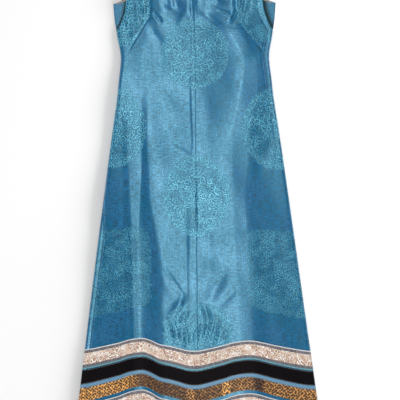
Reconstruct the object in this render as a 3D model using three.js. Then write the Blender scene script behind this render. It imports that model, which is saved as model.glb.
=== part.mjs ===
// A long sleeveless A-line vest of silk damask, laid face up on a flat surface.
// Millimetres. +X is to the right as it is seen from above, +Y runs from the hem to the shoulders,
// +Z is up, and the origin is under the middle of the garment on the surface that it lies on.
import * as THREE from "three";

// Lengths down the garment
const LENGTH = 1411.2;
const TOP = LENGTH / 2;
const HEM = -LENGTH / 2;
const UNDERARM = 486.6;
const BACK_CORNER = 569;
const BAND_TOP = HEM + 231;

// The cloth's wall, the ribbons' wall and the gap that pieces keep at a seam
const CLOTH = 1.2;
const RIBBON = 0.8;
const SEAM_GAP = 0.3;

// Neck and shoulders: the neckline is a quarter ellipse on each half
const NECK_HALF = 114;
const NECK_DROP = { front: 99, back: 25 };
const SHOULDER_TIP = { x: 189, y: 678.6 };

// Half of the body's width, from the hem to the corner where the back's armhole starts
const SIDE = [
  { y: HEM, x: 369 },
  { y: -80, x: 286 },
  { y: 160, x: 253.5 },
  { y: 280, x: 235.5 },
  { y: 340, x: 229 },
  { y: 400, x: 222.5 },
  { y: 430, x: 224.5 },
  { y: 460, x: 230.5 },
  { y: UNDERARM, x: 234.5 },
  { y: 520, x: 239.5 },
  { y: BACK_CORNER, x: 243.5 },
];

// The armhole edges. The front is cut deeper than the back.
const ARMHOLE = {
  front: [
    { y: UNDERARM, x: 234.5 },
    { y: 510.6, x: 220.5 },
    { y: 541.8, x: 208.5 },
    { y: 579.6, x: 202.5 },
    { y: 615.6, x: 196 },
    { y: 654.6, x: 191.5 },
    SHOULDER_TIP,
  ],
  back: [
    { y: BACK_CORNER, x: 243.5 },
    { y: 577.5, x: 221 },
    { y: 592, x: 207 },
    { y: 618, x: 198 },
    { y: 650, x: 192 },
    SHOULDER_TIP,
  ],
};

// The ribbons, each from one distance below BAND_TOP to another
const RIBBONS = [
  { name: "cream_upper", from: 0, to: 50, color: 0xc9b3a3 },
  { name: "black", from: 57.5, to: 99.5, color: 0x17161c },
  { name: "gold", from: 111.5, to: 152, color: 0x9a7440 },
  { name: "cream_lower", from: 165.5, to: 218, color: 0xc9b3a3 },
];

// The two long folds that start at the bust and widen to the hem. Each has the line of its crest, its
// height at the hem and its widths towards the centre and the side.
const FLUTES = [
  {
    side: -1,
    crest: [
      { y: HEM, x: 174 },
      { y: -110, x: 177 },
      { y: 180, x: 184 },
      { y: 440, x: 165 },
    ],
    rise: 13.5,
    inner: 15,
    outer: 55,
  },
  {
    side: 1,
    crest: [
      { y: HEM, x: 160 },
      { y: -110, x: 136 },
      { y: 180, x: 130 },
      { y: 440, x: 150 },
    ],
    rise: 8,
    inner: 70,
    outer: 60,
  },
];
const FLUTE_TOP = 470;

// How the front rises from its sewn edges, its free armhole edges and the sides of the centre seam
const ROLL = { rise: 4.5, width: 7 };
const CROWN = { rise: 7.5, width: 55 };
const BUST = { rise: 5, x: 118, y: 520, width: 60 };
const ARMHOLE_LIFT = 10;
const SHOULDER_FADE = 24;
const SEAM_TROUGH = { depth: 2.2, width: 11 };

// The folds draw the front's hem and ribbons up in two waves, which fade out up the garment
const WAVE = [
  { x: -366, rise: 2 },
  { x: -338, rise: 6.5 },
  { x: -293, rise: 15.7 },
  { x: -233, rise: 29.5 },
  { x: -203, rise: 39 },
  { x: -182, rise: 43 },
  { x: -160, rise: 43.7 },
  { x: -140, rise: 37 },
  { x: -113, rise: 23.5 },
  { x: -83, rise: 17 },
  { x: -53, rise: 9.5 },
  { x: -30, rise: 3.3 },
  { x: 0, rise: 1.5 },
  { x: 31, rise: 7.2 },
  { x: 79, rise: 18.6 },
  { x: 103, rise: 25.5 },
  { x: 127, rise: 29.6 },
  { x: 151, rise: 31.5 },
  { x: 175, rise: 29.5 },
  { x: 223, rise: 17.8 },
  { x: 271, rise: 7.4 },
  { x: 331, rise: -3 },
  { x: 366, rise: -4 },
];
const WAVE_START = 170;
const WAVE_AT_HEM = 1.4;

// The lattice: shares of the way from the centre to the flute's crest and on to the side
const INSIDE = [0, 0.07, 0.2, 0.38, 0.56, 0.72, 0.86, 0.94];
const OUTSIDE = [0, 0.07, 0.16, 0.3, 0.5, 0.7, 0.85, 0.95, 1];
const BACK_SHARES = [0, 0.25, 0.5, 0.75, 1];
const BODY_ROWS = 21;
const ARMHOLE_ROWS = 6;
const NECK_ROWS = 8;
const LIFT_START = BAND_TOP + 25;

// The tan strip on the inner face of the back's armhole
const FACING = { width: 12, inset: 1, from: BACK_CORNER + 1, to: 664, rows: 13 };

const COLORS = { silk: 0x4a90b2, facing: 0xa39a86 };

const smoothstep = (t) => THREE.MathUtils.smoothstep(t, 0, 1);
const bell = (distance, width) => Math.exp(-((distance / width) ** 2) / 2);
const settle = (distance, width) => 1 - Math.exp(-distance / width);

// A smooth curve through a table's rows: one column's value where another, which rises, has a value.
// Without other names it is x at a height y.
function curveAt(table, at, from = "y", to = "x") {
  const last = table.length - 1;
  if (at <= table[0][from]) return table[0][to];
  if (at >= table[last][from]) return table[last][to];
  const k = table.findIndex((row) => row[from] > at) - 1;
  const slope = (a, b) => (table[b][to] - table[a][to]) / (table[b][from] - table[a][from]);
  const tangent = (i) => slope(Math.max(i - 1, 0), Math.min(i + 1, last));
  const [a, b] = [table[k], table[k + 1]];
  const step = b[from] - a[from];
  const t = (at - a[from]) / step;
  return (
    a[to] * (1 + 2 * t) * (1 - t) ** 2 +
    b[to] * t * t * (3 - 2 * t) +
    step * t * (1 - t) * (tangent(k) * (1 - t) - tangent(k + 1) * t)
  );
}

// Straight lines between a table's rows
function rampAt(table, y) {
  const last = table.length - 1;
  if (y <= table[0].y) return table[0].x;
  if (y >= table[last].y) return table[last].x;
  const k = table.findIndex((row) => row.y > y) - 1;
  const t = (y - table[k].y) / (table[k + 1].y - table[k].y);
  return THREE.MathUtils.lerp(table[k].x, table[k + 1].x, t);
}

// The inner end of a row at level v: on the centre seam, and above it on the neckline
function innerEnd(v, drop) {
  const bottom = TOP - drop;
  if (v <= bottom) return { x: SEAM_GAP / 2, y: v };
  const angle = ((v - bottom) / drop) * (Math.PI / 2);
  return {
    x: Math.max(SEAM_GAP / 2, NECK_HALF * Math.sin(angle)),
    y: TOP - drop * Math.cos(angle),
  };
}

// The outer end of a row at level v: on the side, and above it on the armhole
function outerEnd(v, armhole) {
  const start = armhole[0].y;
  if (v <= start) return { x: curveAt(SIDE, v), y: v };
  const y = THREE.MathUtils.mapLinear(v, start, TOP, start, SHOULDER_TIP.y);
  return { x: curveAt(armhole, y), y };
}

// The back's upper face: it lies on the surface, and over its ribbons it lies on them
const backTop = (v) =>
  CLOTH +
  rampAt(
    [
      { y: HEM, x: 0 },
      { y: BAND_TOP - RIBBONS.at(-1).to, x: RIBBON + SEAM_GAP },
      { y: BAND_TOP, x: RIBBON + SEAM_GAP },
      { y: LIFT_START, x: 0 },
    ],
    v,
  );

// How much the long folds add at a point of the front
function fluteRise(x, v) {
  const flute = FLUTES.find((row) => row.side * x > 0);
  const past = Math.abs(x) - curveAt(flute.crest, v);
  const growth = Math.max(0, (FLUTE_TOP - v) / (FLUTE_TOP - HEM)) ** 0.6;
  return growth * flute.rise * bell(past, past < 0 ? flute.inner : flute.outer);
}

// How far the front's lower face lies over the back, where out is the distance to the row's outer end
function frontRise(x, y, v, out) {
  const armhole = Math.max(0, (v - UNDERARM) / (TOP - UNDERARM));
  const edge = ARMHOLE_LIFT * Math.sin(Math.PI * armhole);
  const sides = ROLL.rise * settle(out, ROLL.width) + CROWN.rise * settle(out, CROWN.width);
  const bust = BUST.rise * bell(Math.hypot(Math.abs(x) - BUST.x, y - BUST.y), BUST.width);
  const trough = SEAM_TROUGH.depth * bell(x, SEAM_TROUGH.width);
  const inside = settle(out, CROWN.width);
  const free = edge + sides + inside * (bust - trough) + settle(out, ROLL.width) * fluteRise(x, v);
  return SEAM_GAP + free * settle(TOP - v, SHOULDER_FADE);
}

// The ribbons' waves, as a lift up the garment
function waveAt(x, v) {
  const wave = curveAt(WAVE, x, "x", "rise");
  const start = smoothstep((WAVE_START - v) / (WAVE_START - BAND_TOP));
  const more = Math.max(0, (BAND_TOP - v) / (BAND_TOP - HEM)) * (WAVE_AT_HEM - 1);
  return wave * start + Math.max(wave, 0) * more;
}

// A point of the front's upper face. A column has a side, -1 or 1, and a zone and share on it.
function frontPoint(v, column) {
  const inner = innerEnd(v, NECK_DROP.front);
  const outer = outerEnd(v, ARMHOLE.front);
  const flute = FLUTES.find((row) => row.side === column.side);
  const crest = (curveAt(flute.crest, v) - inner.x) / (outer.x - inner.x);
  const along = column.outside
    ? THREE.MathUtils.lerp(crest, 1, column.share)
    : crest * column.share;
  const x = column.side * THREE.MathUtils.lerp(inner.x, outer.x, along);
  const y = THREE.MathUtils.lerp(inner.y, outer.y, along);
  const out = (1 - along) * Math.hypot(outer.x - inner.x, outer.y - inner.y);
  const z = backTop(v) + frontRise(x, y, v, out) + CLOTH;
  return new THREE.Vector3(x, y + waveAt(x, v), z);
}

// A point of the back's upper face
function backPoint(v, column) {
  const inner = innerEnd(v, NECK_DROP.back);
  const outer = outerEnd(v, ARMHOLE.back);
  const x = column.side * THREE.MathUtils.lerp(inner.x, outer.x, column.share);
  const y = THREE.MathUtils.lerp(inner.y, outer.y, column.share);
  return new THREE.Vector3(x, y, backTop(v));
}

// A closed wall: a lattice of upper points, the same points lowered by its thickness, and its rim.
// Rows run up the garment and columns to the right.
function wall(rows, columns, pointAt, thickness, lift = 0) {
  const positions = [];
  for (const drop of [lift, lift - thickness])
    for (const row of rows)
      for (const column of columns) {
        const point = pointAt(row, column);
        positions.push(point.x, point.y, point.z + drop);
      }
  const layer = rows.length * columns.length;
  const at = (i, j) => i * columns.length + j;
  const index = [];
  for (let i = 0; i < rows.length - 1; i++)
    for (let j = 0; j < columns.length - 1; j++) {
      const [a, b, c, d] = [at(i, j), at(i, j + 1), at(i + 1, j + 1), at(i + 1, j)];
      index.push(a, b, c, a, c, d);
      index.push(a + layer, c + layer, b + layer, a + layer, d + layer, c + layer);
    }
  const rim = (a, b) => index.push(a, a + layer, b, b, a + layer, b + layer);
  for (let j = 0; j < columns.length - 1; j++) {
    rim(at(0, j), at(0, j + 1));
    rim(at(rows.length - 1, j + 1), at(rows.length - 1, j));
  }
  for (let i = 0; i < rows.length - 1; i++) {
    rim(at(i + 1, 0), at(i, 0));
    rim(at(i, columns.length - 1), at(i + 1, columns.length - 1));
  }
  const geometry = new THREE.BufferGeometry();
  geometry.setAttribute("position", new THREE.Float32BufferAttribute(positions, 3));
  geometry.setIndex(index);
  geometry.computeVertexNormals();
  return geometry;
}

function piece(name, geometry, color, roughness = 0.5) {
  const material = new THREE.MeshStandardMaterial({ color, roughness, metalness: 0.1 });
  const mesh = new THREE.Mesh(geometry, material);
  mesh.name = name;
  return mesh;
}

const steps = (from, to, count) =>
  Array.from({ length: count }, (_, i) => THREE.MathUtils.lerp(from, to, i / (count - 1)));

// Columns in rising x: a left half runs from its side to the centre
const mirrored = (half, side) =>
  side < 0 ? half.map((column) => ({ ...column, side })).reverse() : half.map((c) => ({ ...c, side }));

const frontHalf = [
  ...INSIDE.map((share) => ({ share, outside: false })),
  ...OUTSIDE.map((share) => ({ share, outside: true })),
];
const backHalf = BACK_SHARES.map((share) => ({ share }));

// Rows from the hem up: the ribbons' edges, the body, the armhole below the neckline and the neckline
const ribbonRows = RIBBONS.flatMap((row) => [BAND_TOP - row.from, BAND_TOP - row.to]);
const hemRows = [HEM, ...ribbonRows].sort((a, b) => a - b);
const rowsUp = (armholeStart, drop) => [
  ...hemRows,
  ...steps(LIFT_START, armholeStart, BODY_ROWS),
  ...steps(armholeStart, TOP - drop, ARMHOLE_ROWS).slice(1),
  ...steps(TOP - drop, TOP, NECK_ROWS).slice(1),
];
const frontRows = rowsUp(UNDERARM, NECK_DROP.front);
const backRows = rowsUp(BACK_CORNER, NECK_DROP.back);

// The facing follows the back's armhole edge, from its corner to just under the shoulder
function facingPoint(y, column) {
  const edge = curveAt(ARMHOLE.back, y);
  const x = column.side * (edge - FACING.inset - FACING.width * (1 - column.share));
  return new THREE.Vector3(x, y - FACING.inset, backTop(y) + SEAM_GAP + RIBBON);
}

const vest = new THREE.Group();
for (const [name, side] of [
  ["left", -1],
  ["right", 1],
]) {
  const front = wall(frontRows, mirrored(frontHalf, side), frontPoint, CLOTH);
  const back = wall(backRows, mirrored(backHalf, side), backPoint, CLOTH);
  const facingColumns = mirrored([{ share: 0 }, { share: 1 }], side);
  const facing = wall(steps(FACING.from, FACING.to, FACING.rows), facingColumns, facingPoint, RIBBON);
  vest.add(piece(`front_${name}`, front, COLORS.silk));
  vest.add(piece(`back_${name}`, back, COLORS.silk));
  vest.add(piece(`armhole_facing_${name}`, facing, COLORS.facing, 0.8));
}

// Each ribbon crosses the centre seam. The front's lie on its points and the back's are under it.
const across = (half) => [...mirrored(half, -1), ...mirrored(half, 1)];
for (const ribbon of RIBBONS) {
  const rows = [BAND_TOP - ribbon.to, BAND_TOP - ribbon.from];
  const onFront = wall(rows, across(frontHalf), frontPoint, RIBBON, SEAM_GAP + RIBBON);
  const onBack = wall(rows, across(backHalf), backPoint, RIBBON, -CLOTH - SEAM_GAP);
  vest.add(piece(`front_${ribbon.name}`, onFront, ribbon.color, 0.6));
  vest.add(piece(`back_${ribbon.name}`, onBack, ribbon.color, 0.6));
}

export default vest;
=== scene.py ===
"""A long sleeveless vest of blue silk damask, laid face up on a pale floor."""

import math

import bpy
import numpy as np
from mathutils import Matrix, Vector


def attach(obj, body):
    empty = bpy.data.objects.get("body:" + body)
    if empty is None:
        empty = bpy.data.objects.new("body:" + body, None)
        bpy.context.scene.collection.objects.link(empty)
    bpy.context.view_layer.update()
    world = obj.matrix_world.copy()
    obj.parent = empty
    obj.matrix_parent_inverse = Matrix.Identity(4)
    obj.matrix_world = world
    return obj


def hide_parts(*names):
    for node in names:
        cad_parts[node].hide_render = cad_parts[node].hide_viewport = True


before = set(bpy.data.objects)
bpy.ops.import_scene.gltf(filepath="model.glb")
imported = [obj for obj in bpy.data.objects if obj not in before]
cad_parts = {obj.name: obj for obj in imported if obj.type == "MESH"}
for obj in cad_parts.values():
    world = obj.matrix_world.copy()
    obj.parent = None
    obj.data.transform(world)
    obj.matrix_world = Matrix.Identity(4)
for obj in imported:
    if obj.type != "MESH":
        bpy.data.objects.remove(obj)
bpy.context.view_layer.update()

# Sizes of the garment, in millimetres, as in its solids
MM = 0.001
TOP = 705.6
HEM = -705.6
UNDERARM = 486.6
BACK_CORNER = 569.0
BAND_TOP = HEM + 231
NECK_HALF = 114.0
NECK_DROP_FRONT = 99.0
NECK_DROP_BACK = 25.0
TIP_Y, TIP_X = 678.6, 189.0
SEAM_HALF = 0.15

# Tables of (y, x): the side and the armhole edges
SIDE = [
    (HEM, 369),
    (-80, 286),
    (160, 253.5),
    (280, 235.5),
    (340, 229),
    (400, 222.5),
    (430, 224.5),
    (460, 230.5),
    (UNDERARM, 234.5),
    (520, 239.5),
    (BACK_CORNER, 243.5),
]
ARMHOLE_FRONT = [
    (UNDERARM, 234.5),
    (510.6, 220.5),
    (541.8, 208.5),
    (579.6, 202.5),
    (615.6, 196),
    (654.6, 191.5),
    (TIP_Y, TIP_X),
]
ARMHOLE_BACK = [
    (BACK_CORNER, 243.5),
    (577.5, 221),
    (592, 207),
    (618, 198),
    (650, 192),
    (TIP_Y, TIP_X),
]

# The two long folds, from the hem up: (y, crest x, rise on the left and on the right, half of the
# crest's flat width, width of the steep part and of the whole left flank, and the same of the right)
FOLD_LEFT = [
    (HEM, -180, 12, 19, 8, 22, 130, 74, 178),
    (-353, -182, 11.5, 18.5, 7, 22, 112, 76, 176),
    (-200, -184, 10.5, 18, 7, 22, 100, 72, 170),
    (-120, -184, 8, 15, 8, 22, 92, 58, 126),
    (-33, -183, 5, 11, 11, 22, 84, 34, 80),
    (75, -182, 3, 6, 16, 20, 66, 22, 48),
    (171, -184, 2, 4, 18, 18, 52, 18, 34),
    (277, -180, 0.4, 3, 14, 16, 34, 28, 46),
    (390, -178, 0, 1, 14, 14, 26, 24, 40),
    (450, -178, 0, 0, 16, 14, 26, 14, 24),
]
FOLD_RIGHT = [
    (HEM, 156, 6, 7.5, 16, 100, 150, 60, 150),
    (-353, 142, 5.5, 7, 16, 90, 130, 54, 140),
    (-141, 133, 4.5, 6.5, 16, 90, 125, 54, 130),
    (0, 126, 3.5, 5, 16, 90, 120, 54, 115),
    (90, 133, 3.5, 4, 20, 80, 115, 50, 95),
    (171, 132, 6, 4.4, 22, 60, 115, 46, 80),
    (277, 156, 12.5, 2.6, 24, 50, 138, 44, 60),
    (381, 164, 16, 2, 16, 60, 160, 44, 56),
    (430, 148, 13, 3, 14, 60, 144, 44, 70),
    (480, 118, 8, 4, 12, 50, 104, 44, 96),
    (530, 96, 1, 1, 12, 50, 84, 44, 100),
    (580, 90, 0, 0, 12, 50, 84, 44, 100),
]
CREST_ROUND = 3.0

# The folds with the share of the rise that the steep part of the left and of the right flank takes,
# and how gently the rest of the flanks begins, from 0 to 1
FOLDS = [
    (FOLD_LEFT, 0.3, 0.52, 0.0),
    (FOLD_RIGHT, 0.0, 0.3, 0.5),
]

# How the front rises over the back from its sewn edges and its free armhole edges. The crown has
# rows of y, rise and its widths from the left and from the right side.
ROLL_RISE, ROLL_WIDTH = 5.5, 1.9
CROWN = [
    (HEM, 7.4, 62, 90),
    (-160, 7, 62, 80),
    (-30, 5, 56, 70),
    (75, 3.6, 46, 60),
    (150, 2.8, 30, 40),
    (230, 1.8, 5, 30),
    (420, 1.4, 4, 26),
    (TOP, 3, 10, 20),
]
BUST_RISE, BUST_X, BUST_Y, BUST_WIDTH = 5.0, 118.0, 520.0, 60.0
NECK_RISE, NECK_X, NECK_WIDTH = -10.0, 40.0, 44.0
NECK_START, NECK_FADE = 470.0, 90.0
INSIDE_WIDTH = 55.0
FULLNESS, FULLNESS_WIDTH = 1.2, 2.0
SHOULDER_FADE = 24.0

# The armhole edges: their lift halfway up, and the shares of their length over which they come free
# of the back above the underarm and meet it again below the shoulder
ARMHOLE_LIFT = 10.0
FREE_FROM, FREE_TO = 0.12, 0.3

# The low strips beside the side seams: their width, where they begin on both sides, and as shares of
# their width a ridge near the edge and a groove along the inner side
SIDE_STRIP = 16.0
STRIP_LEFT_FADE = 150.0
STRIP_RIGHT_START, STRIP_RIGHT_FADE = 60.0, 100.0
RIDGE_SHARE, RIDGE_AT, RIDGE_WIDTH = 0.076, 3.0, 5.0
GROOVE_SHARE, GROOVE_WIDTH = 0.018, 2.0

# Where the side seams spring up a little: y and the rise on the left and on the right. It grows over
# the root's width from the seam, and dies away over the width of its side.
SPRING = [(0, 0, 0), (90, 1.2, 0.6), (180, 2.4, 1.8), (300, 3.8, 2.6), (420, 3.0, 2.2), (500, 0, 0)]
SPRING_ROOT, SPRING_LEFT, SPRING_RIGHT = 4.0, 34.0, 16.0

# The waves of the ribbons and the hem in the plane of the cloth: (x, rise), and where they begin
WAVE = [
    (-366, 2),
    (-338, 6.5),
    (-293, 15.7),
    (-233, 29.5),
    (-203, 39),
    (-182, 43),
    (-160, 43.7),
    (-140, 37),
    (-113, 23.5),
    (-83, 17),
    (-53, 9.5),
    (-30, 3.3),
    (0, 1.5),
    (31, 7.2),
    (79, 18.6),
    (103, 25.5),
    (127, 29.6),
    (151, 31.5),
    (175, 29.5),
    (223, 17.8),
    (271, 7.4),
    (331, -3),
    (366, -4),
]
WAVE_START = 170.0
WAVE_AT_HEM = 1.4

# The centre seam: (y, depth), and its allowance under the cloth to the left: (y, x of its edge, rise,
# half width of the slope up to it)
SEAM = [(HEM, 0.15), (-130, 0.12), (-70, 1.2), (-5, 1.3), (50, 0.2), (130, 0.05), (400, 0.08), (TOP, 0.25)]
ALLOWANCE = [
    (HEM, -28, 0.4, 7),
    (-400, -28, 0.4, 7),
    (-300, -26, 0.8, 6.5),
    (-240, -26, 1.0, 6.5),
    (-140, -25, 1.3, 7),
    (-40, -24, 0.8, 8),
    (20, -24, 0.2, 7),
    (80, -20, 0.1, 5),
    (140, -11, 0.4, 4),
    (180, -11, 0.6, 4),
    (277, -14, 0.8, 4.4),
    (380, -14, 0.3, 4.4),
    (480, -11, 0.9, 4.4),
    (560, -11, 1.0, 4.4),
    (TOP, -11, 1.0, 4.4),
]
ALLOWANCE_FADE = 45.0
SEAM_WIDTH = 1.8

# Low, uneven waves of the front: seed, how many, shortest and longest, and height
WAVINESS = [
    (7, 22, 60, 200, 0.2),
    (5, 12, 180, 420, 0.55),
]

# The form of a crease: how it fades at its ends, its width at both ends and its lips, all as shares
CREASE_FADE, CREASE_HOLD = 0.45, 0.3
CREASE_START, CREASE_END = 0.75, 1.15
LIP_AT, LIP_WIDTH, LIP_HEIGHT = 2.4, 1.3, 0.2

# Short creases: x and y of both ends, depth (below 0 for a ridge), width and sideways bow
CREASES = [
    (-140, 606, -140, 512, 2.4, 5.5, 2),
    (-168, 592, -158, 505, 1.9, 3.4, 0),
    (-156, 560, -149, 520, 1.5, 3, -2),
    (-122, 540, -98, 510, 2.4, 3.4, 0),
    (-132, 499, -92, 440, 1.2, 9, -3),
    (-112, 590, -86, 512, -1.6, 15, 0),
    (-104, 445, -99, 373, 0.7, 8, 0),
    (-78, 598, -66, 548, 1.3, 6, 3),
    (-52, 625, -30, 530, 1.9, 9, 4),
    (-96, 566, -44, 540, 1.0, 6, 3),
    (-20, 560, -44, 500, 0.8, 7, -2),
    (-23, 625, -19, 522, 1.2, 6, 0),
    (18, 625, 6, 545, 1.4, 8, -3),
    (22, 540, 70, 500, 0.9, 7, 3),
    (40, 590, 92, 566, 1.1, 6, -3),
    (-107, 341, -22, 316, 0.6, 8, 4),
    (-100, 300, -60, 232, 0.5, 12, 3),
    (-75, 143, -22, 119, 1.2, 2.8, 0),
    (-49, 37, -20, 25, 0.8, 3, 0),
    (-195, 502, -194, 454, 0.7, 4, 0),
    (-212, 520, -196, 440, 0.8, 5, 0),
    (137, 550, 109, 508, 2.0, 3.6, -3),
    (144, 592, 136, 525, 2.8, 4.6, 0),
    (122, 606, 118, 550, 2.1, 4.6, 2),
    (155, 540, 148, 500, 1.7, 3.4, 0),
    (132, 592, 116, 515, 2.3, 4.4, 2),
    (66, 548, 113, 530, 1.4, 3.4, 0),
    (187, 514, 174, 390, 0.8, 12, 0),
    (168, 575, 160, 540, 0.8, 4, 0),
    (60, 606, 72, 560, 0.8, 6, 2),
    (237, 178, 180, 52, 0.8, 12, 0),
    (165, -55, 184, -109, 0.4, 8, 0),
    (-100, -232, -38, -314, 0.8, 4.5, 0),
    (-112, -240, -54, -356, 1.1, 15, 3),
    (88, -246, 30, -352, 1.3, 13, -4),
    (120, -306, 48, -360, 1.1, 10, 3),
    (-307, -406, -208, -406, -0.8, 5, 0),
    (37, -105, 38, -175, 0.4, 8, 0),
    (30, -190, 36, -262, 0.4, 10, 3),
    (-40, -306, -84, -396, 2.0, 8, 3),
    (-28, -352, -54, -424, 1.7, 6.5, -4),
    (-74, -390, -62, -456, 2.8, 9, 3),
    (-38, -398, -30, -462, 2.0, 6, 2),
    (14, -328, 36, -414, 1.9, 7, 4),
    (8, -392, -6, -452, 1.2, 5, -3),
    (32, -396, 18, -446, 2.2, 6.5, 2),
    (60, -400, 42, -464, 2.2, 8, -3),
    (-98, -410, -86, -462, 1.2, 7, 0),
    (86, -424, 72, -466, 1.1, 7, 2),
    (2, -424, 44, -436, -0.8, 6, -2),
]

# The bust darts, from the side up to the bust: x and y of both ends
DARTS = [
    (-200, 425, -160, 490),
    (-164, 484, -138, 524),
    (214, 402, 188, 442),
    (190, 438, 138, 502),
]
DART_DEPTH, DART_WIDTH = 0.8, 2.0

# Low ridges of the back, where it doesn't quite reach the floor
BACK_CREASES = [
    (-180, -640, -150, -120, 1.6, 12, 8),
    (150, -600, 128, 80, 1.8, 14, -8),
    (-60, 380, -96, -40, 1.2, 9, 5),
    (70, 520, 96, 150, 1.3, 10, -5),
    (-140, 500, -70, 420, 1.1, 7, 0),
    (130, 470, 60, 400, 1.1, 7, 0),
]
BACK_FADE_SIDE, BACK_FADE_HEM, BACK_FADE_TOP = 12.0, 40.0, 60.0

# Thicknesses of cloth here, and gaps between what is sewn together
SILK = 0.7
RIBBON_THICK = 0.5
SEWN = 0.06
RIBBON_GAP = 0.2

# The back's lift over its own ribbons
BACK_LIFT = 1.1
LIFT_START = BAND_TOP + 25

# Ribbons: name, distances of both edges below BAND_TOP, rows and material
RIBBONS = [
    ("cream_upper", 0, 50, 20, "cream_ribbon"),
    ("black", 57.5, 99.5, 16, "black_satin"),
    ("gold", 111.5, 152, 16, "gold_ribbon"),
    ("cream_lower", 165.5, 218, 20, "cream_ribbon"),
]
BAND_LOW = BAND_TOP - RIBBONS[-1][2]

# Trims on the front: the ribbon that they belong to, both edges, rise, scallop depth and material
TRIMS = [
    ("cream_upper", -3.2, -0.3, 0.9, 0.0, "white_piping"),
    ("cream_upper", 50.4, 55.6, 0.9, 1.6, "aqua_edging"),
    ("black", 99.9, 111.1, 0.5, 0.0, "pale_blue_satin"),
    ("cream_lower", 162.4, 165.2, 0.9, 0.0, "white_piping"),
    ("cream_lower", 218.4, 223.4, 0.9, 1.6, "aqua_edging"),
]
SCALLOP = 9.0
TRIM_ROWS = 7

# Running stitches: how far they lie in from the ribbon's edges and ends, and how a thread sinks in
STITCH_LENGTH, STITCH_PITCH = 3.2, 5.0
STITCH_WIDTH, STITCH_ARCH = 0.5, 0.25
STITCH_INSET, STITCH_MARGIN = 1.6, 3.0
STITCH_SINK, STITCH_STAND = 0.1, 0.05

# The strips that face the back's armholes
FACING_WIDTH, FACING_INSET = 12.0, 1.0
FACING_THICK, FACING_LIFT = 0.4, 0.5
FACING_TOP, FACING_ROWS, FACING_COLUMNS = 664.0, 60, 9

# Rows of the meshes between the ribbons, from the hem up, and above them as (start, end, rows)
GAP_ROWS = (6, 5, 5, 3)
FRONT_STRETCHES = [(BAND_TOP, -400, 24), (-400, 440, 192), (440, TOP, 106)]
BACK_STRETCHES = [(BAND_TOP, 480, 96), (480, BACK_CORNER, 40), (BACK_CORNER, TOP, 60)]
FRONT_COLUMNS, BACK_COLUMNS = 116, 61
CROWDING = 0.5

# Medallions of the damask: centre, half sizes, the power of their outline, where 2 is round, how
# strongly their scrolls show, and whether a dart cuts them off, which only the front has
MEDALLIONS = [
    (0, 417, 102, 104, 2, 0.9, False),
    (0, -10, 100, 122, 2, 1.25, False),
    (0, -436, 102, 106, 2, 0.9, False),
    (250, 192, 112, 126, 2, 0.9, False),
    (-245, 196, 98, 120, 2, 1.0, False),
    (280, -248, 130, 128, 8, 0.7, False),
    (-275, -248, 138, 130, 8, 0.7, False),
    (208, 572, 84, 122, 2.5, 0.78, True),
    (-206, 572, 74, 128, 2.5, 1.1, True),
]
FAR_AWAY = 3.0

# The lines of the cuts on the right (1) and on the left (-1): levels and how far out they are there
DART_CUTS = {1: ((402, 505, 512), (214, 135, 0)), -1: ((425, 524, 531), (200, 138, 0))}
CUT_SOFTNESS = 14.0

# The shade inside the back beside the front's armhole edges: how far the lifted edge reaches over it,
# its width on the left and on the right, how abruptly it ends, and over what height it begins
SHADE_START, SHADE_LEFT, SHADE_RIGHT = 2.0, 6.0, 12.0
SHADE_POWER, SHADE_FADE = 1.5, 12.0

# How bright the gold ribbon's painted sheen is along its length, low where painted shade lies: (x, sheen)
GOLD_PAINTED_SHEEN = [
    (-366, 0.9),
    (-205, 0.75),
    (-175, 0.2),
    (-120, 0.12),
    (-36, 0.15),
    (-28, 0.6),
    (-14, 0.6),
    (-6, 0.2),
    (60, 0.3),
    (72, 0.32),
    (77, 1.2),
    (92, 1.2),
    (98, 0.3),
    (130, 0.45),
    (160, 0.38),
    (172, 0.03),
    (190, 0.03),
    (202, 0.45),
    (366, 0.6),
]

# Plain colours that stand for the materials where these aren't drawn. The floor's is its own colour.
VIEW_COLORS = {
    "silk_damask": (0.29, 0.565, 0.7),
    "cream_ribbon": (0.79, 0.7, 0.64),
    "black_satin": (0.09, 0.085, 0.11),
    "gold_ribbon": (0.6, 0.45, 0.25),
    "armhole_facing": (0.64, 0.6, 0.52),
    "white_piping": (0.85, 0.85, 0.87),
    "aqua_edging": (0.5, 0.7, 0.75),
    "pale_blue_satin": (0.44, 0.62, 0.75),
    "thread": (0.7, 0.65, 0.6),
    "floor": (0.9, 0.9, 0.9),
}

# Silk: its ground where the dye took more and less, and the medallions' ground and scrolls
SILK_DEEP, SILK_LIGHT = (0.005, 0.110, 0.236), (0.022, 0.134, 0.290)
MEDALLION_GROUND, MEDALLION_SCROLL = (0.001, 0.084, 0.190), (0.16, 0.57, 0.76)
SILK_SOCKETS = {"IOR": 1.85, "Specular_Tint": (0.39, 0.83, 0.98)}
SILK_BUMP, BUMP_DISTANCE = 0.6, 0.0005

# Threads across and down the silk and its fine mottle: detail per metre both ways, depth, and share
SILK_THREADS = [
    (60, 330, 3.0, 0.48),
    (330, 24, 3.0, 0.24),
    (210, 210, 2.0, 0.28),
]
THREAD_LOW, THREAD_HIGH = 0.40, 0.60
THREAD_SHADE = (0.5, 1.45)
SILK_ROUGH = (0.31, 0.20)
CLOUD_ROUGH = (0.04, -0.02)
MEDALLION_ROUGH, SCROLL_SMOOTH, SHADE_ROUGH = 0.08, 1.6, 0.55
DEEPEST_SHADE = 0.02

# Scrolls: size of a cell in metres, how tightly the lines wind, and how far they wander in metres
SCROLLS = (0.0135, 15.0, 0.011)
FINE_SCROLLS = (0.0100, 14.0, 0.008)
CREAM_SCROLLS = (0.0125, 15.0, 0.009)
SCROLL_UNEVEN = 0.95

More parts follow.
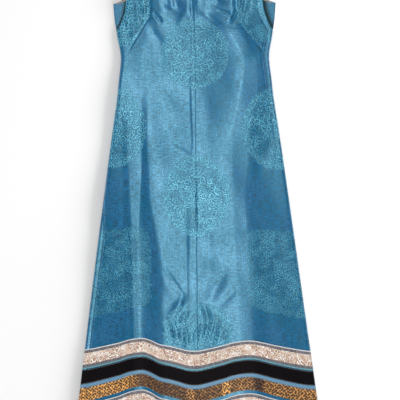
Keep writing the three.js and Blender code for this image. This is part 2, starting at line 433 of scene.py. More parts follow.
# Cream ribbon: pairs of colours that run into each other, and the share of its width at a border
CREAM_WARM = ((0.24, 0.135, 0.06), (0.34, 0.17, 0.11))
CREAM_FIELD = ((0.80, 0.62, 0.50), (1.0, 0.93, 0.86))
CREAM_BLOOM = (0.62, 0.24, 0.18)
BLOOM_SCALE, BLOOM_UNEVEN = 60.0, 0.8
CREAM_GREY = ((0.060, 0.060, 0.080), (0.25, 0.22, 0.25))
CREAM_LINE, LINE_TURNS = (0.12, 0.16, 0.19), 150.0
BORDER_INNER, BORDER_OUTER = 0.17, 0.15

# Gold ribbon: the diaper's pitch in metres, and its colours from its painted shade to its painted sheen
GOLD_PITCH, GOLD_UNEVEN = 0.0070, 0.5
GOLD_THREAD = ((0.085, 0.036, 0.018), (1.0, 0.50, 0.14))
GOLD_DARK = ((0.014, 0.009, 0.012), (0.030, 0.015, 0.015))

COTTON = ((0.26, 0.24, 0.21), (0.38, 0.35, 0.30))

# Plain satins: colour, roughness and the shader's other fixed values
SATINS = {
    "black_satin": ((0.004, 0.0024, 0.0038), 0.5, {"IOR": 1.15}),
    "white_piping": ((0.8, 0.78, 0.78), 0.5, {}),
    "aqua_edging": ((0.16, 0.36, 0.41), 0.45, {}),
    "pale_blue_satin": ((0.13, 0.29, 0.45), 0.4, {}),
    "thread": ((0.40, 0.34, 0.30), 0.6, {}),
}

# The camera looks straight down. The width and the centre of what it sees are in metres.
CAMERA_LENS, CAMERA_SENSOR, CAMERA_REACH = 85.0, 36.0, 50.0
VIEW_WIDTH = 1.2
VIEW_CENTRE = (0.0113, -0.0205)
VIEW_ROLL = math.radians(-0.52)

# Lights: place, aim, size and power
SOFTBOX = ((0, 0, 2.83), (0, 0, 0), (0.95, 2.3), 25.0)
SHEEN = ((0, 0, 2.83), (0, 0, 0), (0.68, 3.7), 46.0)
KEY = ((9, 0.3, 2.3), (0, 0, 0), (7, 3.3), 1550.0)

# The dome: how bright it is overhead and at the horizon, and the heights between which that changes
ZENITH, HORIZON = 0.16, 1.0
ZENITH_FROM, HORIZON_TO = 0.8, 0.45
FLOOR_REACH, FLOOR_ROUGH = 6.0, 0.9


def bell(distance, width):
    return np.exp(-((distance / width) ** 2) / 2)


def settle(distance, width):
    """From 0 at no distance towards 1 far away."""
    return 1 - np.exp(-np.maximum(distance, 0) / width)


def smoothstep(t):
    t = np.clip(t, 0, 1)
    return t * t * (3 - 2 * t)


def mix(a, b, t):
    return a + (b - a) * t


def curve_at(table, y, column=1):
    """A smooth curve through a table whose first column is y: another column's value at y."""
    ys = np.array([row[0] for row in table], float)
    xs = np.array([row[column] for row in table], float)
    y = np.clip(y, ys[0], ys[-1])
    last = len(ys) - 1
    k = np.clip(np.searchsorted(ys, y, side="right") - 1, 0, last - 1)
    order = np.arange(last + 1)
    ahead, behind = np.minimum(order + 1, last), np.maximum(order - 1, 0)
    slope = (xs[ahead] - xs[behind]) / (ys[ahead] - ys[behind])
    step = ys[k + 1] - ys[k]
    t = (y - ys[k]) / step
    return (
        xs[k] * (1 + 2 * t) * (1 - t) ** 2
        + xs[k + 1] * t * t * (3 - 2 * t)
        + step * t * (1 - t) * (slope[k] * (1 - t) - slope[k + 1] * t)
    )


def inner_end(v, drop):
    """The inner end of a row at level v: the centre seam, and above it the neckline."""
    bottom = TOP - drop
    angle = np.clip((v - bottom) / drop, 0, 1) * (math.pi / 2)
    x = np.maximum(SEAM_HALF, NECK_HALF * np.sin(angle))
    return x, np.where(v <= bottom, v, TOP - drop * np.cos(angle))


def outer_end(v, armhole):
    """The outer end of a row at level v: the side, and above it the armhole edge."""
    start = armhole[0][0]
    y = np.where(v <= start, v, start + (v - start) * (TIP_Y - start) / (TOP - start))
    return np.where(v <= start, curve_at(SIDE, v), curve_at(armhole, y)), y


def back_top(v):
    """The height of the back's upper face."""
    return SILK + np.interp(v, [HEM, BAND_LOW, BAND_TOP, LIFT_START], [0, BACK_LIFT, BACK_LIFT, 0])


def crease_relief(x, y, x1, y1, x2, y2, depth, width, bow=0.0):
    """A soft trough with low lips along a bowed line, narrow at its start and fading at both ends."""
    length = math.hypot(x2 - x1, y2 - y1)
    dx, dy = (x2 - x1) / length, (y2 - y1) / length
    t = ((x - x1) * dx + (y - y1) * dy) / length
    held = np.clip(t, 0, 1)
    across = (y - y1) * dx - (x - x1) * dy - bow * 4 * held * (1 - held)
    inside = smoothstep(t / CREASE_FADE + CREASE_HOLD) * smoothstep((1 - t) / CREASE_FADE + CREASE_HOLD)
    wide = width * mix(CREASE_START, CREASE_END, held)
    lips = bell(across - LIP_AT * wide, LIP_WIDTH * wide) + bell(across + LIP_AT * wide, LIP_WIDTH * wide)
    return -depth * inside * (bell(across, wide) - LIP_HEIGHT * lips)


def flank(away, rise, share, steep, whole, gentle):
    """What a fold drops on one side: a share of its rise beside the crest and the rest further out."""
    far = np.clip(away / whole, 0, 1)
    far = mix(far * (2 - far), smoothstep(far), gentle)
    return np.maximum(rise, 0) * (share * smoothstep(away / steep) + (1 - share) * far)


def fold_relief(x, v, table, left_share, right_share, gentle):
    """A long fold, as a height that falls from its crest to both sides."""
    crest, left, right, flat, *widths = [curve_at(table, v, column) for column in range(1, 9)]
    past = x - crest
    away = np.maximum(np.hypot(past, CREST_ROUND) - CREST_ROUND - flat, 0)
    left_drop = flank(away, left, left_share, widths[0], widths[1], gentle)
    right_drop = flank(away, right, right_share, widths[2], widths[3], gentle)
    return np.maximum(left, right) - np.where(past < 0, left_drop, right_drop)


def seam_relief(x, v):
    """The centre seam, with its allowance pressed to the left under the cloth."""
    edge, rise, half_width = [curve_at(ALLOWANCE, v, column) for column in (1, 2, 3)]
    step = smoothstep((x - edge) / (2 * half_width) + 0.5) - smoothstep(x / ALLOWANCE_FADE)
    return rise * step - curve_at(SEAM, v) * bell(x, SEAM_WIDTH)


def waviness(x, y, seed, count, short, long, height):
    """Low, uneven waves that run mostly down the garment."""
    rng = np.random.default_rng(seed)
    total = 0
    for _ in range(count):
        across = rng.uniform(short, long)
        down = across * rng.uniform(2, 5)
        turn = rng.normal(0, 0.3)
        phase = rng.uniform(0, 2 * math.pi)
        size = rng.uniform(0.4, 1) * height * across / long
        u = (x * math.cos(turn) + y * math.sin(turn)) / across
        w = (y * math.cos(turn) - x * math.sin(turn)) / down
        total = total + size * np.sin(2 * math.pi * (u + w) + phase)
    return total


def front_relief(x, y, v):
    """The folds, the centre seam, the waves, the creases and the darts of the front."""
    relief = sum(fold_relief(x, v, *row) for row in FOLDS) + seam_relief(x, v)
    relief = relief + sum(waviness(x, y, *row) for row in WAVINESS)
    for row in CREASES:
        relief = relief + crease_relief(x, y, *row)
    for row in DARTS:
        relief = relief + crease_relief(x, y, *row, DART_DEPTH, DART_WIDTH)
    return relief


def front_height(x, y, v, out):
    """The height of the front's upper face, where out is the distance to the row's outer end."""
    left = x < 0
    strip_right = smoothstep((y - STRIP_RIGHT_START) / STRIP_RIGHT_FADE)
    strip = SIDE_STRIP * np.where(left, smoothstep(-y / STRIP_LEFT_FADE), strip_right)
    crown_width = np.where(left, curve_at(CROWN, v, 2), curve_at(CROWN, v, 3))
    crown = curve_at(CROWN, v) * settle(out - strip, crown_width)
    armhole = np.maximum(0, (v - UNDERARM) / (TOP - UNDERARM))
    lift = ARMHOLE_LIFT * np.sin(math.pi * armhole) ** 2
    loose = smoothstep(armhole / FREE_FROM) * smoothstep((1 - armhole) / FREE_TO)
    roll = ROLL_RISE * np.maximum(settle(out, ROLL_WIDTH), loose)
    spring = np.where(left, curve_at(SPRING, v), curve_at(SPRING, v, 2))
    spring = spring * settle(out, SPRING_ROOT) * np.exp(-out / np.where(left, SPRING_LEFT, SPRING_RIGHT))
    groove = GROOVE_SHARE * bell(out - strip, GROOVE_WIDTH)
    edging = strip * (RIDGE_SHARE * bell(out - RIDGE_AT, RIDGE_WIDTH) - groove)
    bust = BUST_RISE * bell(np.hypot(np.abs(x) - BUST_X, y - BUST_Y), BUST_WIDTH)
    neck = NECK_RISE * smoothstep((y - NECK_START) / NECK_FADE) * bell(x - NECK_X, NECK_WIDTH)
    free = lift + roll + crown + spring + edging + settle(out, INSIDE_WIDTH) * (bust + neck)
    free = free + settle(out - strip, ROLL_WIDTH) * front_relief(x, y, v)
    free = free + FULLNESS * np.maximum(settle(out, FULLNESS_WIDTH), loose)
    return back_top(v) + SEWN + SILK + np.maximum(free, 0) * settle(TOP - v, SHOULDER_FADE)


def wave_at(x, v):
    """How far the cloth at x and level v is moved up the garment by the waves of its lower edge."""
    start = smoothstep((WAVE_START - v) / (WAVE_START - BAND_TOP))
    more = np.maximum(0, (BAND_TOP - v) / (BAND_TOP - HEM)) * (WAVE_AT_HEM - 1)
    wave = curve_at(WAVE, x)
    return wave * start + np.maximum(wave, 0) * more


def front_points(v, along, side):
    """The front's upper face over a grid of levels and shares of the way out, with its flat place."""
    ix, iy = inner_end(v, NECK_DROP_FRONT)
    ox, oy = outer_end(v, ARMHOLE_FRONT)
    x = side * mix(ix, ox, along)
    y = mix(iy, oy, along)
    z = front_height(x, y, v, (1 - along) * np.hypot(ox - ix, oy - iy))
    return np.stack([x, y + wave_at(x, v), z], -1), np.stack([x, y], -1)


def back_points(v, along, side):
    """The back's upper face over the same kind of grid."""
    ix, iy = inner_end(v, NECK_DROP_BACK)
    ox, oy = outer_end(v, ARMHOLE_BACK)
    x = side * mix(ix, ox, along)
    y = mix(iy, oy, along)
    fade = settle((1 - along) * (ox - ix), BACK_FADE_SIDE)
    fade = fade * smoothstep((v - HEM) / BACK_FADE_HEM) * settle(TOP - v, BACK_FADE_TOP)
    lift = sum(-crease_relief(x, y, *row) for row in BACK_CREASES)
    z = back_top(v) + fade * np.maximum(lift, 0)
    return np.stack([x, y, z], -1), np.stack([x, y], -1)


def mesh_object(name, verts, faces, flat, flat_shaded=0):
    """An object that rides the garment, from metres, with a UV map of each vertex's flat place. Its
    last flat_shaded faces are shaded flat and the others smooth, if it has any."""
    mesh = bpy.data.meshes.new(name)
    mesh.from_pydata(verts.tolist(), [], faces.tolist())
    if flat_shaded:
        smooth = np.ones(len(faces), bool)
        smooth[-flat_shaded:] = False
        mesh.polygons.foreach_set("use_smooth", smooth)
    uv = mesh.uv_layers.new(name="Pattern")
    uv.data.foreach_set("uv", flat[faces.reshape(-1)].reshape(-1).astype(np.float32))
    mesh.update()
    obj = bpy.data.objects.new(name, mesh)
    bpy.context.scene.collection.objects.link(obj)
    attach(obj, "root")
    return obj


def grid_mesh(name, points, flat, thickness):
    """A closed shell from a grid of upper points and their flat places in millimetres."""
    rows, columns = points.shape[:2]
    lower = points.copy()
    lower[..., 2] = np.maximum(lower[..., 2] - thickness, 0)
    verts = np.concatenate([points.reshape(-1, 3), lower.reshape(-1, 3)]) * MM
    at = np.arange(rows * columns).reshape(rows, columns)
    top = np.stack([at[:-1, :-1], at[:-1, 1:], at[1:, 1:], at[1:, :-1]], -1).reshape(-1, 4)
    under = top[:, ::-1] + rows * columns
    loop = np.concatenate([at[0], at[1:, -1], at[-1, -2::-1], at[-2:0:-1, 0]])
    ahead = np.roll(loop, -1)
    rim = np.stack([loop, loop + rows * columns, ahead + rows * columns, ahead], -1)
    faces = np.concatenate([top, under, rim])
    if points[0, -1, 0] < points[0, 0, 0]:
        faces = faces[:, ::-1]
    both = np.concatenate([flat.reshape(-1, 2)] * 2) * MM
    return mesh_object(name, verts, faces, both, len(rim))


def attribute(obj, name, values):
    """Keeps a value of each of a grid's upper points with the mesh, the same above and below."""
    both = np.concatenate([values.reshape(-1)] * 2).astype(np.float32)
    obj.data.attributes.new(name, "FLOAT", "POINT").data.foreach_set("value", both)


def medallions(flat, side, front):
    """How far a flat place is from its medallion's centre, where 1 is the edge, and its strength."""
    x, y = flat[..., 0], flat[..., 1]
    nearest = np.full(x.shape, FAR_AWAY)
    strength = np.zeros(x.shape)
    below_dart = np.interp(y, *DART_CUTS[side]) - np.abs(x)
    for cx, cy, a, b, power, strong, is_cut in MEDALLIONS:
        if is_cut and not front:
            continue
        r = (np.abs((x - cx) / a) ** power + np.abs((y - cy) / b) ** power) ** (1 / power)
        if is_cut:
            r = np.maximum(r, 1 + below_dart / CUT_SOFTNESS)
        strength = np.where(r < nearest, strong, strength)
        nearest = np.minimum(nearest, r)
    return nearest, strength


def armhole_shade(flat):
    """How deep a place inside the back lies in the shade of the front's free armhole edge."""
    x, y = flat[..., 0], flat[..., 1]
    out = np.maximum(np.abs(x) - curve_at(ARMHOLE_FRONT, y) - SHADE_START, 0)
    shade = np.exp(-((out / np.where(x < 0, SHADE_LEFT, SHADE_RIGHT)) ** SHADE_POWER))
    return shade * smoothstep((y - UNDERARM) / SHADE_FADE)


class Nodes:
    """Short calls that add and link the nodes of one material."""

    def __init__(self, name):
        self.material = bpy.data.materials.new(name)
        self.material.use_nodes = True
        self.material.diffuse_color = (*VIEW_COLORS[name], 1)
        self.tree = self.material.node_tree
        self.shader = self.tree.nodes["Principled BSDF"]

    def put(self, socket, value):
        """Links a node's output to a socket, or sets its fixed value."""
        if isinstance(value, bpy.types.NodeSocket):
            self.tree.links.new(value, socket)
        elif socket.type == "RGBA" and len(value) == 3:
            socket.default_value = (*value, 1)
        else:
            socket.default_value = value

    def node(self, kind, inputs=(), **settings):
        node = self.tree.nodes.new(kind)
        for key, value in settings.items():
            setattr(node, key, value)
        for key, value in dict(inputs).items():
            self.put(node.inputs[key], value)
        return node

    def add(self, kind, inputs=(), out=0, **settings):
        return self.node(kind, inputs, **settings).outputs[out]

    def math(self, operation, a, b=0.0):
        return self.add("ShaderNodeMath", {0: a, 1: b}, operation=operation)

    def vector(self, operation, a, b):
        return self.add("ShaderNodeVectorMath", {0: a, 1: b}, operation=operation)

    def ramp(self, value, low, high, to_low=0.0, to_high=1.0):
        inputs = {0: value, 1: low, 2: high, 3: to_low, 4: to_high}
        return self.add("ShaderNodeMapRange", inputs, interpolation_type="SMOOTHSTEP")

    def blend(self, factor, a, b):
        return self.add("ShaderNodeMix", {0: factor, 6: a, 7: b}, out=2, data_type="RGBA")

    def shade(self, color, factor):
        return self.vector("MULTIPLY", color, factor)

    def uv(self, *scale):
        flat = self.add("ShaderNodeUVMap", uv_map="Pattern")
        return self.add("ShaderNodeMapping", {"Vector": flat, "Scale": (*scale, 1)}) if scale else flat

    def noise(self, across, down, detail=2.0):
        """Noise with so many features per metre across and down the garment."""
        inputs = {"Vector": self.uv(across, down), "Scale": 1.0, "Detail": detail}
        return self.add("ShaderNodeTexNoise", inputs)

    def cells(self, vector, scale, randomness):
        inputs = {"Vector": vector, "Scale": scale, "Randomness": randomness}
        return self.node("ShaderNodeTexVoronoi", inputs, voronoi_dimensions="2D")

    def attribute(self, name):
        return self.add("ShaderNodeAttribute", attribute_name=name, out=2)

    def curls(self, cell, turns, bend):
        """Lines that wind round the centres of uneven cells, as scrolls do: from -1 to 1."""
        inputs = {"Vector": self.uv(), "Scale": 1 / cell, "Detail": 1.0}
        wander = self.add("ShaderNodeTexNoise", inputs, out=1)
        wander = self.vector("SUBTRACT", wander, (0.5, 0.5, 0.5))
        place = self.vector("ADD", self.uv(), self.vector("MULTIPLY", wander, (bend,) * 3))
        cells = self.cells(place, 1 / cell, SCROLL_UNEVEN)
        scaled = self.vector("MULTIPLY", place, (1 / cell,) * 3)
        offset = self.vector("SUBTRACT", scaled, cells.outputs["Position"])
        split = self.node("ShaderNodeSeparateXYZ", {0: offset})
        angle = self.math("ARCTAN2", split.outputs[1], split.outputs[0])
        wound = self.math("MULTIPLY", cells.outputs["Distance"], turns)
        return self.math("SINE", self.math("ADD", wound, angle))

    def finish(self, color, roughness, height=None, bump=0.3, **sockets):
        self.put(self.shader.inputs["Base Color"], color)
        self.put(self.shader.inputs["Roughness"], roughness)
        for key, value in sockets.items():
            self.put(self.shader.inputs[key.replace("_", " ")], value)
        if height is not None:
            inputs = {"Strength": bump, "Distance": BUMP_DISTANCE, "Height": height}
            self.put(self.shader.inputs["Normal"], self.add("ShaderNodeBump", inputs))
        return self.material


def silk_damask():
    n = Nodes("silk_damask")
    away = n.attribute("medallion")
    ragged = n.math("SUBTRACT", n.noise(75, 75), 0.5)
    away = n.math("ADD", away, n.math("MULTIPLY", ragged, 0.18))
    inside = n.ramp(away, 1.02, 0.97)
    strength = n.attribute("strength")
    # Scrolls, which are finer at the rim, round the middle and in the faint medallions
    scrolls = n.ramp(n.curls(*SCROLLS), 0.0, 0.7)
    fine = n.ramp(n.curls(*FINE_SCROLLS), 0.0, 0.7)
    rim = n.math("MAXIMUM", n.ramp(away, 0.80, 0.86), n.ramp(away, 0.34, 0.28))
    faint = n.ramp(strength, 0.85, 0.75)
    drawn = n.blend(n.math("MAXIMUM", rim, faint), scrolls, fine)
    rim = n.math("MULTIPLY", rim, n.math("SUBTRACT", 0.95, n.math("MULTIPLY", faint, 0.3)))
    patchy = n.ramp(n.noise(26, 26, 3.0), 0.38, 0.6, 0.3, 1.0)
    patchy = n.math("MAXIMUM", patchy, rim)
    grain = n.ramp(n.noise(260, 260), 0.35, 0.65, 0.55, 1.0)
    pattern = n.math("MULTIPLY", n.math("MULTIPLY", inside, drawn), n.math("MULTIPLY", patchy, grain))
    pattern = n.math("MULTIPLY", pattern, strength)
    # Slubs: fine uneven threads both ways, and clouds where the dye took less
    weft, warp, mottle = [
        n.math("MULTIPLY", n.noise(across, down, detail), share)
        for across, down, detail, share in SILK_THREADS
    ]
    threads = n.math("ADD", n.math("ADD", weft, warp), mottle)
    cloudy = n.noise(9, 12, 5.0)
    ground = n.blend(n.ramp(cloudy, 0.35, 0.65), SILK_DEEP, SILK_LIGHT)
    ground = n.blend(inside, ground, MEDALLION_GROUND)
    ground = n.shade(ground, n.ramp(threads, THREAD_LOW, THREAD_HIGH, *THREAD_SHADE))
    color = n.blend(pattern, ground, MEDALLION_SCROLL)
    shaded = n.attribute("shade")
    color = n.shade(color, n.ramp(shaded, 0.0, 0.8, 1.0, DEEPEST_SHADE))
    # Scrolls are smoother than their ground, and what lies in the shade shines less
    rough = n.ramp(threads, THREAD_LOW, THREAD_HIGH, *SILK_ROUGH)
    rough = n.math("ADD", rough, n.math("MULTIPLY", shaded, SHADE_ROUGH))
    rough = n.math("ADD", rough, n.ramp(cloudy, 0.35, 0.65, *CLOUD_ROUGH))
    duller = n.math("SUBTRACT", inside, n.math("MULTIPLY", pattern, SCROLL_SMOOTH))
    rough = n.math("ADD", rough, n.math("MULTIPLY", duller, MEDALLION_ROUGH))
    height = n.math("ADD", n.math("MULTIPLY", pattern, 0.5), n.math("MULTIPLY", threads, 0.8))
    return n.finish(color, rough, height, SILK_BUMP, **SILK_SOCKETS)


def satin(name):
    """A plain weave whose threads run along the ribbon."""
    tone, roughness, sockets = SATINS[name]
    n = Nodes(name)
    along = n.math("MULTIPLY", n.noise(30, 1200), 0.6)
    uneven = n.math("ADD", along, n.math("MULTIPLY", n.noise(900, 40), 0.4))
    color = n.shade(tone, n.ramp(uneven, 0.3, 0.7, 0.75, 1.25))
    return n.finish(color, roughness, uneven, 0.2, **sockets)


def cream_ribbon():
    """Scrolls and small blooms on cream, between grey borders with fine lines along them."""
    n = Nodes("cream_ribbon")
    across = n.attribute("across")
    upper = n.ramp(across, BORDER_INNER, BORDER_OUTER)
    border = n.math("MAXIMUM", upper, n.ramp(across, 1 - BORDER_INNER, 1 - BORDER_OUTER))
    scrolls = n.ramp(n.curls(*CREAM_SCROLLS), 0.1, 0.5)
    scrolls = n.math("MULTIPLY", scrolls, n.ramp(n.noise(30, 30), 0.36, 0.6, 0.35, 1.0))
    blooms = n.cells(n.uv(), BLOOM_SCALE, BLOOM_UNEVEN).outputs["Distance"]
    warm = n.blend(n.ramp(n.noise(60, 60), 0.45, 0.6), *CREAM_WARM)
    field = n.blend(n.ramp(n.noise(70, 70), 0.42, 0.60), *CREAM_FIELD)
    field = n.blend(scrolls, field, warm)
    field = n.blend(n.ramp(blooms, 0.2, 0.12, 0.0, 0.5), field, CREAM_BLOOM)
    stripes = n.ramp(n.noise(700, 30), 0.38, 0.62)
    lines = n.ramp(n.math("SINE", n.math("MULTIPLY", across, LINE_TURNS)), 0.3, 0.9, 0.0, 0.5)
    grey = n.blend(lines, n.blend(stripes, *CREAM_GREY), CREAM_LINE)
    return n.finish(n.blend(border, field, grey), 0.5, n.math("ADD", scrolls, stripes), IOR=1.5)


def gold_ribbon():
    """A small slanting diaper of dark dots on gold, with painted sheen and shade by where it faces the
    light.
    """
    n = Nodes("gold_ribbon")
    painted_sheen = n.attribute("painted_sheen")
    diagonal = n.add("ShaderNodeMapping", {"Vector": n.uv(), "Rotation": (0, 0, math.pi / 4)})
    dots = n.ramp(n.cells(diagonal, 1 / GOLD_PITCH, GOLD_UNEVEN).outputs["Distance"], 0.52, 0.32)
    uneven = n.ramp(n.noise(160, 160), 0.35, 0.65, 0.6, 1.5)
    # Painted sheen and shade: the thread and dot colours lighten and darken along the ribbon
    thread = n.shade(n.blend(painted_sheen, *GOLD_THREAD), uneven)
    color = n.blend(n.math("MULTIPLY", dots, 0.95), thread, n.blend(painted_sheen, *GOLD_DARK))
    return n.finish(color, 0.45, dots, IOR=1.35)


def facing_cotton():
    n = Nodes("armhole_facing")
    threads = n.noise(900, 900)
    return n.finish(n.blend(n.ramp(threads, 0.3, 0.7), *COTTON), 0.85, threads)


MATERIALS = {
    "silk_damask": silk_damask(),
    "cream_ribbon": cream_ribbon(),
    "gold_ribbon": gold_ribbon(),
    "armhole_facing": facing_cotton(),
    **{name: satin(name) for name in SATINS},
}


def dress(obj, material, slot, *nodes):
    """Gives a piece its material and hides the model's parts that it stands for, if any. The slot is not
    used.
    """
    obj.data.materials.append(MATERIALS[material])
    if nodes:
        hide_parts(*nodes)


def levels(stretches):
    """Levels up the garment from stretches of (start, end, steps)."""
    parts = [np.linspace(start, end, steps, endpoint=False) for start, end, steps in stretches]
    return np.concatenate(parts + [[stretches[-1][1]]])


def band_stretches():
    """Stretches from the hem to the top of the band, with rows along all edges of the ribbons."""
    stretches, below = [], HEM
    for (_, start, end, rows, _), gap_rows in zip(reversed(RIBBONS), GAP_ROWS):
        stretches += [(below, BAND_TOP - end, gap_rows), (BAND_TOP - end, BAND_TOP - start, rows)]
        below = BAND_TOP - start
    return stretches


def crowded(count):
    """Shares from 0 to 1 that lie closer together at both ends."""
    even = np.linspace(0, 1, count)
    return even - CROWDING * np.sin(2 * math.pi * even) / (2 * math.pi)


def flat_area(flat):
    """The area of a grid of flat places, in square metres."""
    a, b = flat[1:, 1:] - flat[:-1, :-1], flat[1:, :-1] - flat[:-1, 1:]
    return float(np.abs(a[..., 0] * b[..., 1] - a[..., 1] * b[..., 0]).sum() / 2) * MM * MM


def panel(word, front):
    """One half of the front or of the back, with its flat size and area."""
    side = -1 if word == "left" else 1
    part = "front" if front else "back"
    stretches, columns = (FRONT_STRETCHES, FRONT_COLUMNS) if front else (BACK_STRETCHES, BACK_COLUMNS)
    v = levels(band_stretches() + stretches)
    rows, shares = np.meshgrid(v, crowded(columns), indexing="ij")
    points, flat = (front_points if front else back_points)(rows, shares, side)
    obj = grid_mesh(f"{part}_{word}_cloth", points, flat, SILK)
    away, strength = medallions(flat, side, front)
    attribute(obj, "medallion", away)
    attribute(obj, "strength", strength)
    attribute(obj, "shade", 0 * away if front else armhole_shade(flat))
    dress(obj, "silk_damask", "silk_damask", f"{part}_{word}")
    size = (float(np.ptp(flat[..., 0])) * MM, float(np.ptp(flat[..., 1])) * MM)
    return obj, size, flat_area(flat)


def cloth():
    for word in ("left", "right"):
        back, size, area = panel(word, False)
        front, size, area = panel(word, True)


def band_grid(v, front, lift, rise=0.0, scallop=0.0):
    """A band across both halves between the first and last level of v, on the front or under the back."""
    rows, shares = np.meshgrid(v, crowded(FRONT_COLUMNS), indexing="ij")
    out = mix(SEAM_HALF, curve_at(SIDE, rows), shares)
    x = np.concatenate([-out[:, ::-1], out], axis=1)
    y = np.concatenate([rows, rows], axis=1)
    share = (y - v[0]) / (v[-1] - v[0])
    y = y + (1 - share) * scallop * (0.5 + 0.5 * np.cos(2 * math.pi * x / SCALLOP))
    rounding = rise * 4 * share * (1 - share)
    if front:
        z = front_height(x, y, y, curve_at(SIDE, y) - np.abs(x)) + lift + rounding
        points = np.stack([x, y + wave_at(x, y), z], -1)
    else:
        points = np.stack([x, y, back_top(y) - SILK - lift + 0 * x], -1)
    return points, np.stack([x, y], -1)


def ribbon(name, node, material, v, front):
    lift = RIBBON_GAP + RIBBON_THICK if front else RIBBON_GAP
    points, flat = band_grid(v, front, lift)
    obj = grid_mesh(name, points, flat, RIBBON_THICK)
    attribute(obj, "across", (v[-1] - flat[..., 1]) / (v[-1] - v[0]))
    # The gold ribbon's painted sheen and shade along its length, kept on every ribbon
    attribute(obj, "painted_sheen", np.interp(flat[..., 0], *np.array(GOLD_PAINTED_SHEEN).T))
    dress(obj, material, material, node)
    width, length = float(np.ptp(flat[..., 0])) * MM, float(v[-1] - v[0]) * MM
    return obj, (width, length), flat_area(flat)


def trim(name, start, end, rise, scallop, material):
    v = np.linspace(BAND_TOP - end, BAND_TOP - start, TRIM_ROWS)
    points, flat = band_grid(v, True, RIBBON_GAP + RIBBON_THICK, rise, scallop)
    obj = grid_mesh(name, points, flat, RIBBON_THICK)
    dress(obj, material, "cream_ribbon" if material != "pale_blue_satin" else "silk_damask")
    return obj


def stitch_row(level):
    """The corners of the running stitches along one level, as stitches x 3 rings x 4 corners x xyz."""
    reach = float(curve_at(SIDE, level)) - STITCH_MARGIN
    half = STITCH_WIDTH / 2
    starts = np.arange(-reach, reach - STITCH_LENGTH, STITCH_PITCH)
    x = starts[:, None] + np.array([0, STITCH_LENGTH / 2, STITCH_LENGTH])[None, :]
    y = level + wave_at(x, level)
    z = front_height(x, level, level, curve_at(SIDE, level) - np.abs(x)) + RIBBON_GAP + RIBBON_THICK
    z = z + np.array([0.0, STITCH_ARCH, 0.0])
    sides = ((-half, -STITCH_SINK), (half, -STITCH_SINK), (half, STITCH_STAND), (-half, STITCH_STAND))
    return np.stack([np.stack([x, y + dy, z + dz], -1) for dy, dz in sides], 2)


def stitch_lines():
    """Running stitches just inside both edges of each ribbon on the front, as one mesh."""
    rows = []
    for _, start, end, _, _ in RIBBONS:
        for level in (BAND_TOP - start - STITCH_INSET, BAND_TOP - end + STITCH_INSET):
            rows.append(stitch_row(level))
    verts = np.concatenate(rows).reshape(-1, 3) * MM
    walls = [(k + a, k + 4 + a, k + 4 + (a + 1) % 4, k + (a + 1) % 4) for k in (0, 4) for a in range(4)]
    stitch = np.array(walls + [(0, 1, 2, 3), (11, 10, 9, 8)])
    faces = (np.arange(0, len(verts), 12)[:, None, None] + stitch).reshape(-1, 4)
    obj = mesh_object("ribbon_stitches", verts, faces, verts[:, :2])
    dress(obj, "thread", "cream_ribbon")
    return obj


def ribbons():
    stitches = stitch_lines()
    for name, start, end, steps, material in RIBBONS:
        v = np.linspace(BAND_TOP - end, BAND_TOP - start, steps + 1)
        trims = [
            trim(f"trim_{name}_{number}", *row[1:])
            for number, row in enumerate(TRIMS)
            if row[0] == name
        ]
        if name == "cream_upper":
            trims.append(stitches)
        front, size, area = ribbon(f"ribbon_front_{name}", f"front_{name}", material, v, True)
        back, size, area = ribbon(f"ribbon_back_{name}", f"back_{name}", material, v, False)


def facings():
    y = np.linspace(BACK_CORNER + FACING_INSET, FACING_TOP, FACING_ROWS)[:, None]
    share = np.linspace(0, 1, FACING_COLUMNS)[None, :]
    edge = curve_at(ARMHOLE_BACK, y)
    for word, side in (("left", -1), ("right", 1)):
        x = side * (edge - FACING_INSET - FACING_WIDTH * (1 - share))
        points = np.stack([x, y - FACING_INSET + 0 * x, SILK + FACING_LIFT + 0 * x], -1)
        obj = grid_mesh(f"facing_{word}", points, points[..., :2], FACING_THICK)
        dress(obj, "armhole_facing", "armhole_facing", f"armhole_facing_{word}")


def camera():
    data = bpy.data.cameras.new("camera")
    data.lens, data.sensor_width = CAMERA_LENS, CAMERA_SENSOR
    data.clip_end = CAMERA_REACH
    cam = bpy.data.objects.new("camera", data)
    cam.location = (*VIEW_CENTRE, VIEW_WIDTH * CAMERA_LENS / CAMERA_SENSOR)
    cam.rotation_euler = (0, 0, VIEW_ROLL)
    bpy.context.scene.collection.objects.link(cam)
    bpy.context.scene.camera = cam


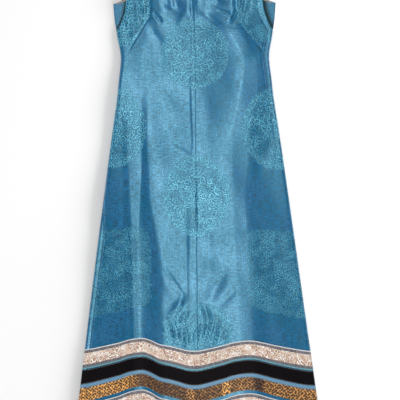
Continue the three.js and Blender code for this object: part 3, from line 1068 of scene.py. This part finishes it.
def area_light(name, place, aim, size, power, receivers):
    """A rectangular light that shines on the objects of one collection."""
    data = bpy.data.lights.new(name, "AREA")
    data.shape = "RECTANGLE"
    data.size, data.size_y = size
    data.energy = power
    light = bpy.data.objects.new(name, data)
    light.location = place
    light.rotation_euler = (Vector(aim) - Vector(place)).to_track_quat("-Z", "Y").to_euler()
    light.light_linking.receiver_collection = receivers
    bpy.context.scene.collection.objects.link(light)


def world_light():
    """A dome that is dim overhead and brighter towards the horizon."""
    world = bpy.data.worlds.new("studio")
    bpy.context.scene.world = world
    world.use_nodes = True
    tree = world.node_tree
    place = tree.nodes.new("ShaderNodeTexCoord")
    split = tree.nodes.new("ShaderNodeSeparateXYZ")
    level = tree.nodes.new("ShaderNodeMapRange")
    tree.links.new(place.outputs["Generated"], split.inputs[0])
    tree.links.new(split.outputs[2], level.inputs[0])
    for socket, value in zip(level.inputs[1:5], (HORIZON_TO, ZENITH_FROM, HORIZON, ZENITH)):
        socket.default_value = value
    background = tree.nodes["Background"]
    background.inputs["Color"].default_value = (1, 1, 1, 1)
    tree.links.new(level.outputs[0], background.inputs["Strength"])


def collection_of(name, objects):
    group = bpy.data.collections.new(name)
    for obj in objects:
        group.objects.link(obj)
    return group


def studio():
    garment = collection_of("garment", [obj for obj in bpy.context.scene.objects if obj.type == "MESH"])
    mesh = bpy.data.meshes.new("floor")
    r = FLOOR_REACH
    mesh.from_pydata([(-r, -r, 0), (r, -r, 0), (r, r, 0), (-r, r, 0)], [], [(0, 1, 2, 3)])
    floor = bpy.data.objects.new("floor", mesh)
    bpy.context.scene.collection.objects.link(floor)
    mesh.materials.append(Nodes("floor").finish(VIEW_COLORS["floor"], FLOOR_ROUGH))
    world_light()
    # The long light over the garment makes the silk's sheen, and the low key throws its shadow
    ground = collection_of("ground", [floor])
    area_light("softbox", *SOFTBOX, ground)
    area_light("sheen", *SHEEN, garment)
    area_light("key", *KEY, ground)
    bpy.context.scene.view_settings.view_transform = "Standard"


cloth()
ribbons()
facings()
camera()
studio()
